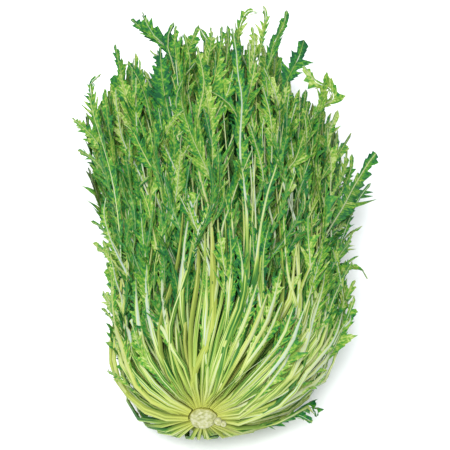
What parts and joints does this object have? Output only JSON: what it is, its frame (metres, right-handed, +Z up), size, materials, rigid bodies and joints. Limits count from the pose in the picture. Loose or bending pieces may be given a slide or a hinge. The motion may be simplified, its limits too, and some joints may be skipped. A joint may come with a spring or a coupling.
{
  "type": "mizuna bunch",
  "caption": "Whole mizuna plant cut at the root and lying down: slender pale stalks fan from a small crown into a dense brush of jagged green leaves.",
  "frame": {"origin": "middle of the bunch's bounding box, on the surface it lies on", "axes": "+Y from the cut root end towards the leaf tips, +Z up, +X to the right seen from the root end"},
  "size_m": [0.2352, 0.3868, 0.1193],
  "materials": {
    "leaf": "satin",
    "crown": "matte"
  },
  "bodies": {
    "root": {"crown": "crown", "ring1_shoot01": "leaf", "ring1_shoot02": "leaf", "ring1_shoot03": "leaf", "ring1_shoot04": "leaf", "ring1_shoot05": "leaf", "ring1_shoot06": "leaf", "ring1_shoot07": "leaf", "ring1_shoot08": "leaf", "ring1_shoot09": "leaf", "ring1_shoot10": "leaf", "ring2_shoot01": "leaf", "ring2_shoot02": "leaf", "ring2_shoot03": "leaf", "ring2_shoot04": "leaf", "ring2_shoot05": "leaf", "ring2_shoot06": "leaf", "ring2_shoot07": "leaf", "ring2_shoot08": "leaf", "ring2_shoot09": "leaf", "ring2_shoot10": "leaf", "ring3_shoot01": "leaf", "ring3_shoot02": "leaf", "ring3_shoot03": "leaf", "ring3_shoot04": "leaf", "ring3_shoot05": "leaf", "ring3_shoot06": "leaf", "ring3_shoot07": "leaf", "ring3_shoot08": "leaf", "ring4_shoot01": "leaf", "ring4_shoot02": "leaf", "ring4_shoot03": "leaf", "ring4_shoot04": "leaf", "ring4_shoot05": "leaf", "ring4_shoot06": "leaf", "ring4_shoot07": "leaf", "ring4_shoot08": "leaf", "ring5_shoot01": "leaf", "ring5_shoot02": "leaf", "ring5_shoot03": "leaf", "ring5_shoot04": "leaf", "ring5_shoot05": "leaf", "ring5_shoot06": "leaf", "ring6_shoot01": "leaf", "ring6_shoot02": "leaf", "ring6_shoot03": "leaf", "ring6_shoot04": "leaf", "ring6_shoot05": "leaf", "ring6_shoot06": "leaf", "ring7_shoot01": "leaf", "ring7_shoot02": "leaf", "ring7_shoot03": "leaf", "ring7_shoot04": "leaf"}
  },
  "joints": []
}
